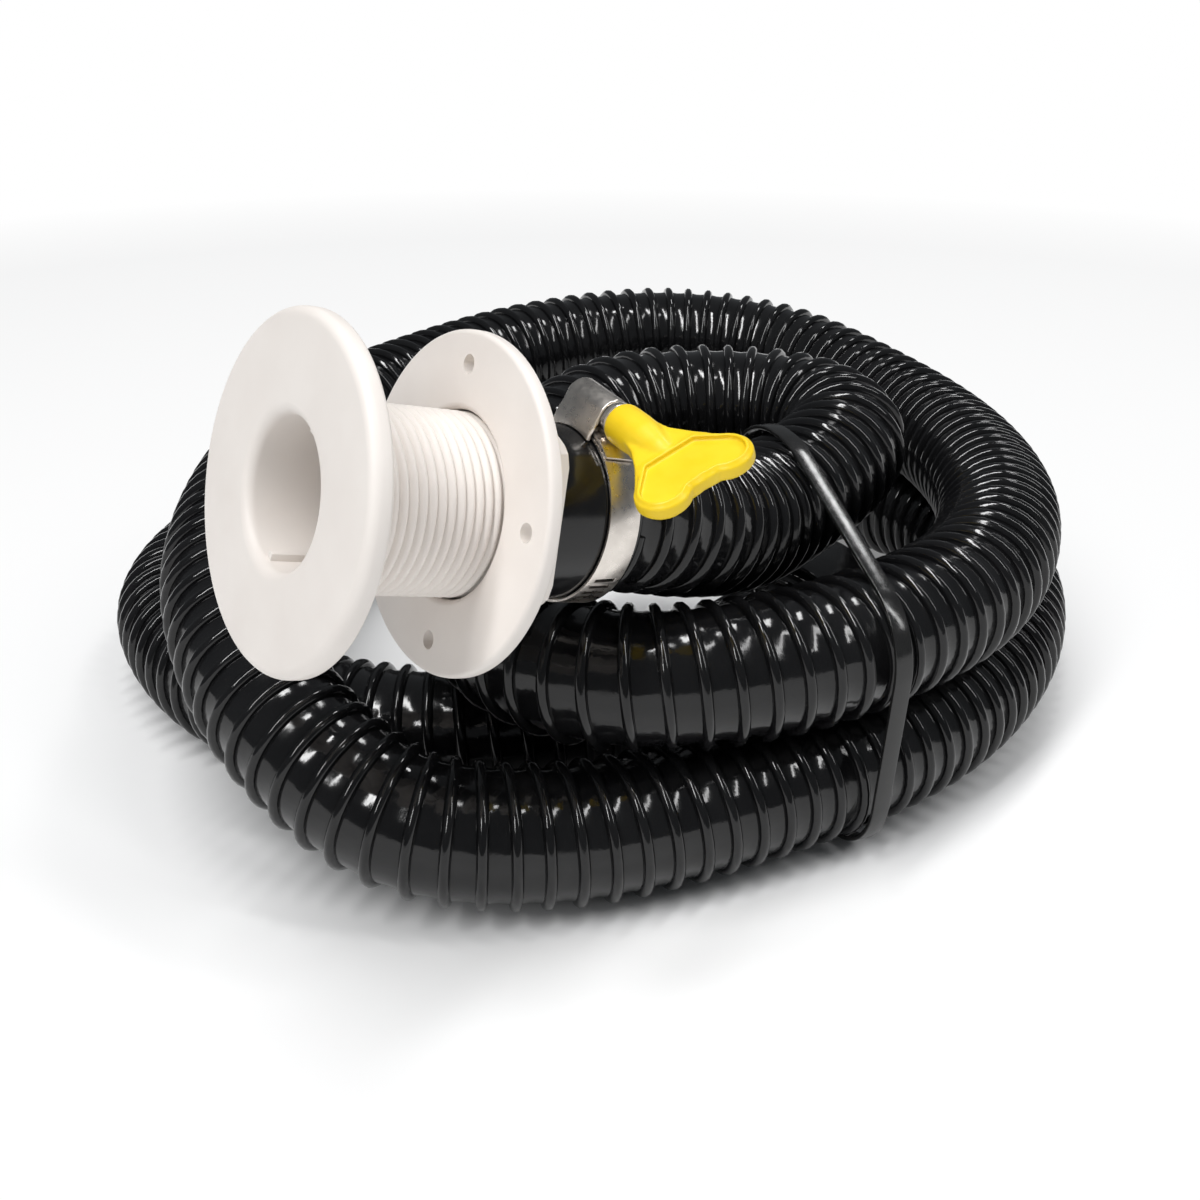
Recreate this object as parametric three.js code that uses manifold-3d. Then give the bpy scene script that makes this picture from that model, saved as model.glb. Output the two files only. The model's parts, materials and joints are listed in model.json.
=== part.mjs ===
// A waste hose kit: a ribbed hose lying in a loose coil, with a threaded wall fitting, its lock nut,
// a worm-drive hose clamp with a butterfly key, and a cable tie round the front turns.
// Millimetres, +Z up. The coil rests on Z = 0 and the origin is under the middle of the kit.

import * as THREE from 'three';
import { ConvexGeometry } from 'three/addons/geometries/ConvexGeometry.js';
import { mergeVertices } from 'three/addons/utils/BufferGeometryUtils.js';
import Module from 'manifold-3d';

const wasm = await Module();
wasm.setup();

// ---------------------------------------------------------------- driving dimensions (mm)

const CLEARANCE = 0.3; // gap between pieces that touch
const FULL_TURN = 360; // degrees

// wall fitting, measured along its own axis from the front face of its flange
const FLANGE_DIAMETER = 78;
const FLANGE_THICKNESS = 5.2;
const FLANGE_ROUNDING = 2.2;
const THREAD_DIAMETER = 41.9; // G 1 1/4
const THREAD_PITCH = 2.309; // 11 threads to the inch
const THREAD_DEPTH = 1.4;
const THREAD_RELIEF = 0.5; // plain collar at the flange, so that its wall face is clean
const BARREL_LENGTH = 49.6; // from the flange to the shoulder that the cuff butts on
const BORE_DIAMETER = 33;
const BORE_ROUNDING = 2.4;
const TAIL_DIAMETER = 31.8;
const TAIL_LENGTH = 25.5;
const TAIL_WALL = 2.8;
const BARB_HEIGHT = 0.8;
const BARB_COUNT = 5;
const BARB_SLOPE = 0.7; // share of a barb's pitch over which it falls away
const LUG_WIDTH = 2.2;
const LUG_HEIGHT = 2.4;
const LUG_LENGTH = 9;
const LUG_ANGLE = 16; // degrees round the axis, from straight up towards the viewer's side

// lock nut
const NUT_TRAVEL_REST = 36.2; // from the back of the front flange to the face of the nut
const NUT_FLANGE_DIAMETER = 78;
const NUT_FLANGE_THICKNESS = 3.4;
const NUT_ROUNDING = 1.2;
const NUT_THREAD_GAP = 0.4; // running gap over the thread's crests
const NUT_MOUTH_ROUNDING = 1.6;
const HEX_ACROSS_FLATS = 55;
const HEX_HEIGHT = 8.4;
const HEX_ANGLE = -8;
const SCREW_HOLE_COUNT = 4;
const SCREW_HOLE_DIAMETER = 4.4;
const SCREW_HOLE_MARGIN = 7.6; // from the nut's rim to the centre of a screw hole
const SCREW_HOLE_ANGLE = -6;

// hose and its smooth end cuffs
const HOSE_DIAMETER = 38; // over the ribs
const HOSE_STEPS = 88;
const HOSE_SIDES = 12;
const CUFF_DIAMETER = 40.8;
const CUFF_LENGTH = 26.6;
const CUFF_ROUNDING = 0.8;

// clamp
const BAND_WIDTH = 8.5;
const BAND_THICKNESS = 0.7;
const BAND_SETBACK = 2.2; // from the inner end of the cuff to the edge of the band
const BAND_TAIL = 32; // degrees of band that stick out past the middle of the housing
const BAND_OVERLAP = 24; // degrees from the band's fixed end to the middle of the housing
const SLOT_FIRST = 112; // degrees from the middle of the housing to the first worm slot
const SLOT_LAST = 318;
const SLOT_THICKNESS = 1.1;
const SLOT_LENGTH = 5.2;
const SLOT_SLANT = 8;
const BAND_CLIMB = 26; // degrees over which the band climbs onto its own fixed end
const BAND_CLIMB_GAP = 4; // degrees from there to the fixed end
const CLAMP_ANGLE = 8; // turn of the clamp about the cuff, from straight up towards the viewer's side
const WORM_DIAMETER = 6.8;
const WORM_PITCH = 2.4;
const WORM_DEPTH = 0.9;
const HOUSING_BACK = 9.5; // length of the housing behind and in front of its middle
const HOUSING_FRONT = 5;
const HOUSING_WALL = 0.9;
const TIP_DIAMETER = 4;
const TIP_ROUNDING = 0.6;
const TIP_REACH = 2.4; // how far the worm's tip stands out of the housing
const COLLAR_DIAMETER = 8.2;
const COLLAR_THICKNESS = 1.7;
const DRIVE_DIAMETER = 4.2;
const DRIVE_LENGTH = 8;

// butterfly key, measured along the worm's axis from its neck
const KEY_NECK_DIAMETER = 10;
const KEY_NECK_LENGTH = 8; // of its round part
const KEY_SHOULDER = 19; // where the neck has spread into the plate
const KEY_SHOULDER_WIDTH = 17;
const KEY_LENGTH = 36;
const KEY_SPAN = 29.6;
const KEY_LOBE_RADIUS = 6.4;
const KEY_LOBE_START = -50; // the arc of a lobe, in degrees
const KEY_LOBE_END = 140;
const KEY_WAIST_DEPTH = 2.2; // of the hollow between the lobes
const KEY_THICKNESS = 4.8;
const KEY_ROUNDING = 1.4;
const KEY_RIM = 2;
const KEY_RECESS = 1.1;
const KEY_ROLL = 37; // turn of the key about the worm at rest, from flat along the hose

// cable tie round the three front turns
const TIE_WIDTH = 4.8;
const TIE_THICKNESS = 1.3;
const TIE_GAP = 0.8; // between the strap and the ribs
const TIE_HEADING = 21.5; // direction square to the tie's plane
const TIE_OFFSET = 30.5; // from the origin to the tie's plane, along that direction
const TIE_REACH = 50; // turns with their centres this near the middle of the bundle are tied
const TIE_BUNDLE = [73, -74, 50]; // middle of the bundle
const TIE_HEAD = [8.5, 6.5, 5.5];
const TIE_SIDES = 48; // points round each tied turn
const HOSE_SAMPLES = 800;

// where the fitting lies, and which way it points
const FACE_CENTRE = [-65, -155.7, 125]; // middle of the flange's front face
const AXIS_HEADING = 34.7; // degrees from +X towards +Y
const AXIS_DROP = 15.7; // degrees downwards, towards the hose

// where the hose lies: from the fitting, round the small inner loop, then round the coil
const COIL_WIDTH = 316; // over the coil's widest turn
const ROUTE_WIDTH = 316; // the same, as the route's points are set out
const HOSE_ROUTE = [
  [24, -90, 92], [43, -60, 82], [75, -8, 85], [70, 13, 86], [53, 26, 86], [22, 27, 86],
  [-1, 14, 84], [-26, -26, 72], [-27, -80, 60], [-13, -101, 59], [10, -112, 59.2],
  [50, -104, 60], [99, -66, 60.5], [124, -10, 59], [128, 52, 58], [111, 111, 60], [72, 156, 68],
  [27, 169, 71], [-23, 155, 69], [-69, 114, 66], [-97, 59, 66], [-107, -2, 65], [-101, -63, 57],
  [-79, -105, 41], [-47, -125, 26], [-9, -123, 20.4], [48, -100, 21.2], [97, -63, 21.2],
  [129, -10, 20.4], [140, 51, 19], [122, 103, 19], [76, 140, 19], [16, 154, 19], [-45, 145, 19],
  [-99, 115, 20], [-134, 65, 20], [-138, 12, 20], [-112, -37, 20], [-76, -62, 20],
  [-36, -69, 20], [3, -57, 20], [39, -30, 20.6], [62, 2, 21],
];

// ---------------------------------------------------------------- sizes that follow

const flangeRadius = FLANGE_DIAMETER / 2;
const threadRadius = THREAD_DIAMETER / 2;
const boreRadius = BORE_DIAMETER / 2;
const shoulderZ = FLANGE_THICKNESS + BARREL_LENGTH;
const tailRadius = TAIL_DIAMETER / 2;
const tailEndZ = shoulderZ + TAIL_LENGTH;
const cuffRadius = CUFF_DIAMETER / 2;
const cuffBoreRadius = tailRadius + BARB_HEIGHT + CLEARANCE;
const cuffStartZ = shoulderZ + CLEARANCE;
const cuffEndZ = cuffStartZ + CUFF_LENGTH;
const nutFaceZ = FLANGE_THICKNESS + NUT_TRAVEL_REST;
const bandCentreZ = cuffEndZ - BAND_SETBACK - BAND_WIDTH / 2;
const bandInnerRadius = cuffRadius + CLEARANCE;
const bandOuterRadius = bandInnerRadius + 2 * BAND_THICKNESS + CLEARANCE;
const wormRadius = WORM_DIAMETER / 2;
const wormHeight = bandOuterRadius + CLEARANCE + wormRadius;
const routeScale = COIL_WIDTH / ROUTE_WIDTH;
const tieOffset = TIE_OFFSET * routeScale;
const keyStartX = HOUSING_FRONT + CLEARANCE + COLLAR_THICKNESS + CLEARANCE;

// ---------------------------------------------------------------- helpers

const radians = THREE.MathUtils.degToRad;

function solid(geometry) {
  const bare = geometry.index ? geometry.toNonIndexed() : geometry.clone();
  bare.deleteAttribute('normal');
  bare.deleteAttribute('uv');
  const merged = mergeVertices(bare, 1e-4);
  return new wasm.Manifold(new wasm.Mesh({
    numProp: 3,
    vertProperties: new Float32Array(merged.attributes.position.array),
    triVerts: new Uint32Array(merged.index.array),
  }));
}

function surface(manifold) {
  const mesh = manifold.getMesh();
  const geometry = new THREE.BufferGeometry();
  geometry.setAttribute('position', new THREE.BufferAttribute(mesh.vertProperties, 3));
  geometry.setIndex(new THREE.BufferAttribute(mesh.triVerts, 1));
  geometry.computeVertexNormals();
  return geometry;
}

// a profile of [radius, z] points turned about the Z axis
function turned(profile, segments = 48) {
  const points = profile.map(([r, z]) => new THREE.Vector2(r, z));
  return new THREE.LatheGeometry(points, segments).rotateX(Math.PI / 2);
}

function rod(radius, start, end, segments = 48) {
  return turned([[0, start], [radius, start], [radius, end], [0, end]], segments);
}

// points of an arc about (r, z), in degrees from the outward direction towards +Z
function arc(r, z, radius, from, to, steps = 4) {
  const points = [];
  for (let i = 0; i <= steps; i++) {
    const angle = radians(from + ((to - from) * i) / steps);
    points.push([r + radius * Math.cos(angle), z + radius * Math.sin(angle)]);
  }
  return points;
}

// a right-handed screw thread about Z, with crests and roots on the same helix, cut square at both ends
function threaded(outer, depth, pitch, start, end, segments) {
  const rows = 2 * (Math.ceil((end - start) / pitch) + 3);
  const base = start - 1.5 * pitch;
  const positions = [];
  for (let row = 0; row <= rows; row++) {
    const radius = row % 2 ? outer : outer - depth;
    for (let k = 0; k < segments; k++) {
      const angle = (2 * Math.PI * k) / segments;
      const z = base + pitch * (row / 2 + k / segments);
      positions.push(radius * Math.cos(angle), radius * Math.sin(angle), z);
    }
  }
  const at = (row, k) => (k < segments ? row * segments + k : (row + 2) * segments + k - segments);
  const index = [];
  for (let row = 0; row < rows; row++) {
    for (let k = 0; k < segments; k++) {
      if (k === segments - 1 && row > rows - 3) continue;
      const [a, b, c, d] = [at(row, k), at(row, k + 1), at(row + 1, k + 1), at(row + 1, k)];
      index.push(a, b, c, a, c, d);
    }
  }
  // each open end is a turn of the helix and a step back to its start
  const low = [];
  const high = [];
  for (let k = 0; k < segments; k++) {
    low.push(at(0, k));
    high.push(at(rows, k));
  }
  low.push(at(2, 0), at(1, 0));
  high.push(at(rows - 1, segments - 1), at(rows - 2, segments - 1));
  const lowCentre = positions.length / 3;
  positions.push(0, 0, base - pitch);
  const highCentre = lowCentre + 1;
  positions.push(0, 0, base + pitch * (rows / 2 + 2));
  low.forEach((vertex, i) => index.push(lowCentre, low[(i + 1) % low.length], vertex));
  high.forEach((vertex, i) => index.push(highCentre, vertex, high[(i + 1) % high.length]));
  const geometry = new THREE.BufferGeometry();
  geometry.setAttribute('position', new THREE.Float32BufferAttribute(positions, 3));
  geometry.setIndex(index);
  return solid(geometry).intersect(solid(rod(outer + pitch, start, end, 8)));
}

const materials = {
  white: new THREE.MeshStandardMaterial({ color: 0xebe4dd, roughness: 0.42, metalness: 0 }),
  hose: new THREE.MeshStandardMaterial({ color: 0x0b0b0c, roughness: 0.16, metalness: 0 }),
  cuff: new THREE.MeshStandardMaterial({ color: 0x0d0d0e, roughness: 0.2, metalness: 0 }),
  steel: new THREE.MeshStandardMaterial({ color: 0xc9c5be, roughness: 0.25, metalness: 1 }),
  yellow: new THREE.MeshStandardMaterial({ color: 0xf2cf1d, roughness: 0.4, metalness: 0 }),
  tie: new THREE.MeshStandardMaterial({ color: 0x111112, roughness: 0.28, metalness: 0 }),
};

function piece(name, geometry, material, parent) {
  const mesh = new THREE.Mesh(geometry, material);
  mesh.name = name;
  parent.add(mesh);
  return mesh;
}

// ---------------------------------------------------------------- placing

// the fitting's frame: Z runs along its axis from the front face to the hose, Y leans upwards
const kit = new THREE.Group();
const fitting = new THREE.Group();
const axis = new THREE.Vector3(
  Math.cos(radians(AXIS_DROP)) * Math.cos(radians(AXIS_HEADING)),
  Math.cos(radians(AXIS_DROP)) * Math.sin(radians(AXIS_HEADING)),
  -Math.sin(radians(AXIS_DROP)),
);
const up = new THREE.Vector3(0, 0, 1);
const side = up.clone().cross(axis).normalize();
const upward = axis.clone().cross(side);
fitting.quaternion.setFromRotationMatrix(new THREE.Matrix4().makeBasis(side, upward, axis));
fitting.position.copy(laid(FACE_CENTRE));
kit.add(fitting);

// a point of the route or near it, spread with the coil
function laid([x, y, z]) {
  return new THREE.Vector3(x * routeScale, y * routeScale, z);
}

function onAxis(z) {
  return laid(FACE_CENTRE).addScaledVector(axis, z);
}

// the clamp's frame: X runs along the worm towards the key, Y points outwards from the cuff
const clamp = new THREE.Group();
clamp.rotation.set(0, Math.PI, radians(CLAMP_ANGLE), 'ZXY');
clamp.position.set(0, 0, bandCentreZ);
fitting.add(clamp);

// the tie lies in an upright plane across the tied turns
const tieAlong = new THREE.Vector3(Math.cos(radians(TIE_HEADING)), Math.sin(radians(TIE_HEADING)), 0);
const tieAcross = new THREE.Vector3(tieAlong.y, -tieAlong.x, 0);

// ---------------------------------------------------------------- wall fitting

function tailProfile() {
  const points = [[0, shoulderZ - 1], [tailRadius, shoulderZ - 1]];
  const step = TAIL_LENGTH / (BARB_COUNT + 1);
  for (let i = 1; i <= BARB_COUNT; i++) {
    const z = shoulderZ + i * step;
    points.push([tailRadius, z - CLEARANCE], [tailRadius + BARB_HEIGHT, z]);
    points.push([tailRadius, z + step * BARB_SLOPE]);
  }
  points.push([tailRadius, tailEndZ - BARB_HEIGHT], [tailRadius - BARB_HEIGHT, tailEndZ]);
  points.push([0, tailEndZ]);
  return points;
}

function thruHullBody() {
  const backRounding = FLANGE_ROUNDING / 2;
  const flange = solid(turned([
    [0, 0],
    ...arc(flangeRadius - FLANGE_ROUNDING, FLANGE_ROUNDING, FLANGE_ROUNDING, -90, 0),
    ...arc(flangeRadius - backRounding, FLANGE_THICKNESS - backRounding, backRounding, 0, 90, 2),
    [0, FLANGE_THICKNESS],
  ]));
  const barrel = threaded(
    threadRadius, THREAD_DEPTH, THREAD_PITCH, FLANGE_THICKNESS - 1, shoulderZ, 36,
  );
  const collar = solid(
    rod(threadRadius + CLEARANCE, FLANGE_THICKNESS - 1, FLANGE_THICKNESS + THREAD_RELIEF, 36),
  );
  const tail = solid(turned(tailProfile(), 36));
  const tailBoreRadius = tailRadius - TAIL_WALL;
  const bore = solid(turned([
    [0, -1],
    [boreRadius + BORE_ROUNDING, -1],
    ...arc(boreRadius + BORE_ROUNDING, BORE_ROUNDING, BORE_ROUNDING, 270, 180),
    [boreRadius, shoulderZ - TAIL_WALL - (boreRadius - tailBoreRadius)],
    [tailBoreRadius, shoulderZ - TAIL_WALL],
    [tailBoreRadius, tailEndZ + 1],
    [0, tailEndZ + 1],
  ]));
  let body = flange.add(barrel).add(collar).add(tail).subtract(bore);
  for (const turn of [0, 180]) {
    const lug = new THREE.BoxGeometry(LUG_WIDTH, LUG_HEIGHT + 1, LUG_LENGTH)
      .translate(0, boreRadius + 1 - (LUG_HEIGHT + 1) / 2, BORE_ROUNDING + LUG_LENGTH / 2)
      .rotateZ(radians(LUG_ANGLE + turn));
    body = body.add(solid(lug));
  }
  return surface(body);
}

// ---------------------------------------------------------------- lock nut

function lockNut() {
  const radius = NUT_FLANGE_DIAMETER / 2;
  const boreR = threadRadius + NUT_THREAD_GAP;
  const height = NUT_FLANGE_THICKNESS + HEX_HEIGHT;
  const plate = solid(turned([
    [0, 0],
    ...arc(radius - NUT_ROUNDING, NUT_ROUNDING, NUT_ROUNDING, -90, 0, 3),
    [radius, NUT_FLANGE_THICKNESS],
    [0, NUT_FLANGE_THICKNESS],
  ]));
  const cornerRadius = HEX_ACROSS_FLATS / 2 / Math.cos(Math.PI / 6);
  const hexagon = solid(
    new THREE.CylinderGeometry(cornerRadius, cornerRadius, height - 1, 6)
      .rotateX(Math.PI / 2)
      .rotateZ(radians(HEX_ANGLE))
      .translate(0, 0, (height + 1) / 2),
  );
  const bore = solid(turned([
    [0, -1],
    [boreR + NUT_MOUTH_ROUNDING, -1],
    ...arc(boreR + NUT_MOUTH_ROUNDING, NUT_MOUTH_ROUNDING, NUT_MOUTH_ROUNDING, 270, 180, 3),
    [boreR, height + 1],
    [0, height + 1],
  ]));
  let nut = plate.add(hexagon).subtract(bore);
  const holeCircle = radius - SCREW_HOLE_MARGIN;
  for (let i = 0; i < SCREW_HOLE_COUNT; i++) {
    const angle = radians(SCREW_HOLE_ANGLE) + (2 * Math.PI * i) / SCREW_HOLE_COUNT;
    const hole = rod(SCREW_HOLE_DIAMETER / 2, -1, height + 1, 12)
      .translate(0, holeCircle, 0)
      .rotateZ(angle);
    nut = nut.subtract(solid(hole));
  }
  return surface(nut);
}

// ---------------------------------------------------------------- hose and cuffs

function cuff() {
  return turned([
    [cuffBoreRadius, 0],
    ...arc(cuffRadius - CUFF_ROUNDING, CUFF_ROUNDING, CUFF_ROUNDING, -90, 0, 2),
    ...arc(cuffRadius - CUFF_ROUNDING, CUFF_LENGTH - CUFF_ROUNDING, CUFF_ROUNDING, 0, 90, 2),
    [cuffBoreRadius, CUFF_LENGTH],
    [cuffBoreRadius, 0],
  ], 40);
}

const hoseStart = onAxis(cuffEndZ + CLEARANCE);
const hoseCurve = new THREE.CatmullRomCurve3([
  hoseStart,
  onAxis(cuffEndZ + HOSE_DIAMETER / 3),
  ...HOSE_ROUTE.map(laid),
]);

function hoseTube() {
  const section = new THREE.Shape();
  for (let i = 0; i < HOSE_SIDES; i++) {
    const angle = (2 * Math.PI * i) / HOSE_SIDES;
    const [x, y] = [Math.cos(angle) * HOSE_DIAMETER / 2, Math.sin(angle) * HOSE_DIAMETER / 2];
    if (i === 0) section.moveTo(x, y);
    else section.lineTo(x, y);
  }
  return new THREE.ExtrudeGeometry(section, {
    steps: HOSE_STEPS, extrudePath: hoseCurve, bevelEnabled: false,
  });
}

// ---------------------------------------------------------------- clamp

// radius of the band's inner face: one layer round the cuff, stepping up onto its own fixed end
function bandRadius(degrees) {
  const step = BAND_THICKNESS + CLEARANCE;
  const top = FULL_TURN - BAND_OVERLAP - BAND_CLIMB_GAP;
  const rise = THREE.MathUtils.smoothstep(degrees, top - BAND_CLIMB, top);
  return bandInnerRadius + step * rise;
}

function clampBand() {
  const from = -BAND_OVERLAP;
  const to = FULL_TURN + BAND_TAIL;
  const steps = 60;
  const inner = [];
  const outer = [];
  for (let i = 0; i <= steps; i++) {
    const degrees = from + ((to - from) * i) / steps;
    const angle = radians(degrees);
    const r = bandRadius(degrees);
    inner.push(new THREE.Vector2(r * Math.sin(angle), r * Math.cos(angle)));
    const outside = r + BAND_THICKNESS;
    outer.push(new THREE.Vector2(outside * Math.sin(angle), outside * Math.cos(angle)));
  }
  const strip = new THREE.Shape([...inner, ...outer.reverse()]);
  let band = solid(
    new THREE.ExtrudeGeometry(strip, { depth: BAND_WIDTH, bevelEnabled: false })
      .translate(0, 0, -BAND_WIDTH / 2),
  );
  const spacing = THREE.MathUtils.radToDeg(WORM_PITCH / bandInnerRadius);
  for (let degrees = SLOT_FIRST; degrees <= SLOT_LAST; degrees += spacing) {
    const slot = new THREE.BoxGeometry(SLOT_THICKNESS, 4 * BAND_THICKNESS, SLOT_LENGTH)
      .rotateY(radians(SLOT_SLANT))
      .translate(0, bandRadius(degrees) + BAND_THICKNESS / 2, 0)
      .rotateZ(-radians(degrees));
    band = band.subtract(solid(slot));
  }
  return surface(band);
}

function clampHousing() {
  const innerHalf = BAND_WIDTH / 2 + CLEARANCE;
  const outerHalf = innerHalf + HOUSING_WALL;
  const length = HOUSING_BACK + HOUSING_FRONT;
  const cover = (half, from, to) => {
    const block = new THREE.BoxGeometry(to - from, wormHeight, 2 * half)
      .translate((from + to) / 2, wormHeight / 2, 0);
    const arch = rod(half, from, to, 24).rotateY(Math.PI / 2).translate(0, wormHeight, 0);
    return solid(block).add(solid(arch));
  };
  const shell = cover(outerHalf, -HOUSING_BACK, HOUSING_FRONT);
  const channel = cover(innerHalf, HOUSING_WALL - HOUSING_BACK, HOUSING_FRONT + 1);
  const bandWay = solid(rod(bandOuterRadius + CLEARANCE, -innerHalf, innerHalf, 72));
  const cuffWay = solid(rod(cuffRadius + CLEARANCE, -length, length, 72));
  const tipHole = solid(
    rod(TIP_DIAMETER / 2 + CLEARANCE, -length, 0, 20).rotateY(Math.PI / 2).translate(0, wormHeight, 0),
  );
  return surface(shell.subtract(channel).subtract(bandWay).subtract(cuffWay).subtract(tipHole));
}

// the worm turns about X, so it is built along Z and laid over
function wormScrew() {
  const tipStart = -HOUSING_BACK - TIP_REACH;
  const threadStart = HOUSING_WALL + CLEARANCE - HOUSING_BACK;
  const collarStart = HOUSING_FRONT + CLEARANCE;
  const collarEnd = collarStart + COLLAR_THICKNESS;
  const core = wormRadius - WORM_DEPTH;
  const shaft = solid(turned([
    [0, tipStart],
    ...arc(TIP_DIAMETER / 2 - TIP_ROUNDING, tipStart + TIP_ROUNDING, TIP_ROUNDING, -90, 0, 2),
    [TIP_DIAMETER / 2, threadStart],
    [core, threadStart],
    [core, collarStart],
    [COLLAR_DIAMETER / 2, collarStart],
    [COLLAR_DIAMETER / 2, collarEnd],
    [DRIVE_DIAMETER / 2, collarEnd],
    [DRIVE_DIAMETER / 2, collarEnd + DRIVE_LENGTH],
    [0, collarEnd + DRIVE_LENGTH],
  ], 24));
  const worm = threaded(wormRadius, WORM_DEPTH, WORM_PITCH, threadStart, HOUSING_FRONT - 1, 20);
  return surface(shaft.add(worm).rotate([0, 90, 0]).translate([0, wormHeight, 0]));
}

// outline of the key's plate, drawn in by an inset, with the worm's axis along X
function keyOutline(inset) {
  const radius = KEY_LOBE_RADIUS - inset;
  const lobeX = KEY_LENGTH - KEY_LOBE_RADIUS;
  const lobeY = KEY_SPAN / 2 - KEY_LOBE_RADIUS;
  const half = arc(lobeX, lobeY, radius, KEY_LOBE_START, KEY_LOBE_END, 9).reverse();
  half.unshift([KEY_SHOULDER + inset, KEY_SHOULDER_WIDTH / 2 - inset]);
  half.push([KEY_LENGTH - KEY_WAIST_DEPTH - inset, 0]);
  const mirrored = half.slice(0, -1).reverse().map(([x, y]) => [x, -y]);
  return new THREE.Shape([...half, ...mirrored].map(([x, y]) => new THREE.Vector2(x, y)));
}

function thumbKey() {
  const neckRadius = KEY_NECK_DIAMETER / 2;
  const neck = solid(turned([
    [0, 0],
    ...arc(neckRadius - KEY_ROUNDING, KEY_ROUNDING, KEY_ROUNDING, -90, 0, 3),
    [neckRadius, KEY_NECK_LENGTH],
    [0, KEY_NECK_LENGTH],
  ], 24).rotateY(Math.PI / 2));
  // the neck spreads from its round part into the plate
  const shoulder = [];
  for (let k = 0; k < 24; k++) {
    const angle = (2 * Math.PI * k) / 24;
    const [y, z] = [neckRadius * Math.cos(angle), neckRadius * Math.sin(angle)];
    shoulder.push(new THREE.Vector3(KEY_NECK_LENGTH - 1, y, z));
  }
  for (const [y, z] of [[-1, -1], [-1, 1], [1, 1], [1, -1]]) {
    shoulder.push(new THREE.Vector3(
      KEY_SHOULDER + KEY_RIM, (y * KEY_SHOULDER_WIDTH) / 2, z * (KEY_THICKNESS / 2 - KEY_RECESS),
    ));
  }
  const plate = new THREE.ExtrudeGeometry(keyOutline(0), {
    depth: KEY_THICKNESS - 2 * KEY_ROUNDING,
    bevelSize: KEY_ROUNDING,
    bevelThickness: KEY_ROUNDING,
    bevelOffset: -KEY_ROUNDING,
    bevelSegments: 2,
  }).translate(0, 0, KEY_ROUNDING - KEY_THICKNESS / 2);
  let key = solid(plate).add(neck).add(solid(new ConvexGeometry(shoulder)));
  const pocket = new THREE.ExtrudeGeometry(keyOutline(KEY_RIM), {
    depth: KEY_THICKNESS, bevelEnabled: false,
  }).translate(0, 0, KEY_THICKNESS / 2 - KEY_RECESS);
  const driveHole = rod(DRIVE_DIAMETER / 2 + CLEARANCE, -1, DRIVE_LENGTH, 20).rotateY(Math.PI / 2);
  key = key.subtract(solid(pocket)).subtract(solid(driveHole));
  key = key.subtract(solid(pocket.rotateX(Math.PI)));
  // the plate is built flat in XY, then rolled about the worm's axis
  return surface(key.rotate([KEY_ROLL - 90, 0, 0]).translate([keyStartX, wormHeight, 0]));
}

// ---------------------------------------------------------------- cable tie

// the loop that hugs the tied turns, as [distance across them, height] pairs
function tieLoop() {
  const middle = laid(TIE_BUNDLE);
  const reach = HOSE_DIAMETER / 2 + TIE_GAP;
  const points = hoseCurve.getSpacedPoints(HOSE_SAMPLES);
  const cloud = [];
  // the strap clears the turns at both its edges and along its middle
  for (const edge of [-TIE_WIDTH / 2, 0, TIE_WIDTH / 2]) {
    const heights = points.map((point) => point.dot(tieAlong) - tieOffset - edge);
    for (let i = 0; i < points.length - 1; i++) {
      const [a, b] = [heights[i], heights[i + 1]];
      if (a * b > 0) continue;
      const centre = points[i].clone().lerp(points[i + 1], a / (a - b));
      if (centre.distanceTo(middle) > TIE_REACH) continue;
      const slant = Math.abs(points[i + 1].clone().sub(points[i]).normalize().dot(tieAlong));
      for (let k = 0; k < TIE_SIDES; k++) {
        const angle = (2 * Math.PI * k) / TIE_SIDES;
        cloud.push([
          centre.dot(tieAcross) + (reach * Math.cos(angle)) / slant,
          centre.z + reach * Math.sin(angle),
        ]);
      }
    }
  }
  return convexHull(cloud);
}

function convexHull(cloud) {
  const sorted = cloud.slice().sort((p, q) => p[0] - q[0] || p[1] - q[1]);
  const turn = (o, p, q) => (p[0] - o[0]) * (q[1] - o[1]) - (p[1] - o[1]) * (q[0] - o[0]);
  const half = (list) => {
    const chain = [];
    for (const point of list) {
      while (chain.length > 1 && turn(chain.at(-2), chain.at(-1), point) <= 0) chain.pop();
      chain.push(point);
    }
    chain.pop();
    return chain;
  };
  return [...half(sorted), ...half(sorted.reverse())];
}

function grown(loop, distance) {
  return loop.map((point, i) => {
    const before = loop.at(i - 1);
    const after = loop[(i + 1) % loop.length];
    const [dx, dy] = [after[0] - before[0], after[1] - before[1]];
    const size = Math.hypot(dx, dy);
    return [point[0] + (dy / size) * distance, point[1] - (dx / size) * distance];
  });
}

function cableTie() {
  const loop = tieLoop();
  const flat = (points) => points.map(([x, y]) => new THREE.Vector2(x, y));
  const ring = new THREE.Shape(flat(grown(loop, TIE_THICKNESS)));
  ring.holes.push(new THREE.Path(flat(loop)));
  const strap = solid(
    new THREE.ExtrudeGeometry(ring, { depth: TIE_WIDTH, bevelEnabled: false })
      .translate(0, 0, -TIE_WIDTH / 2),
  );
  // the head sits on the longest free run of the strap inside the coil
  const length = ([p, q]) => Math.hypot(q[0] - p[0], q[1] - p[1]);
  const [start, end] = loop.map((point, i) => [point, loop[(i + 1) % loop.length]])
    .filter(([p, q]) => q[1] < p[1])
    .sort((run, other) => length(other) - length(run))[0];
  const [headLength, headWidth, headHeight] = TIE_HEAD;
  const head = new THREE.BoxGeometry(headLength, headHeight, headWidth)
    .translate(0, -headHeight / 2, 0)
    .rotateZ(Math.atan2(end[1] - start[1], end[0] - start[0]))
    .translate((start[0] + end[0]) / 2, (start[1] + end[1]) / 2, 0);
  return surface(strap.add(solid(head)));
}

// ---------------------------------------------------------------- the kit

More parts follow.
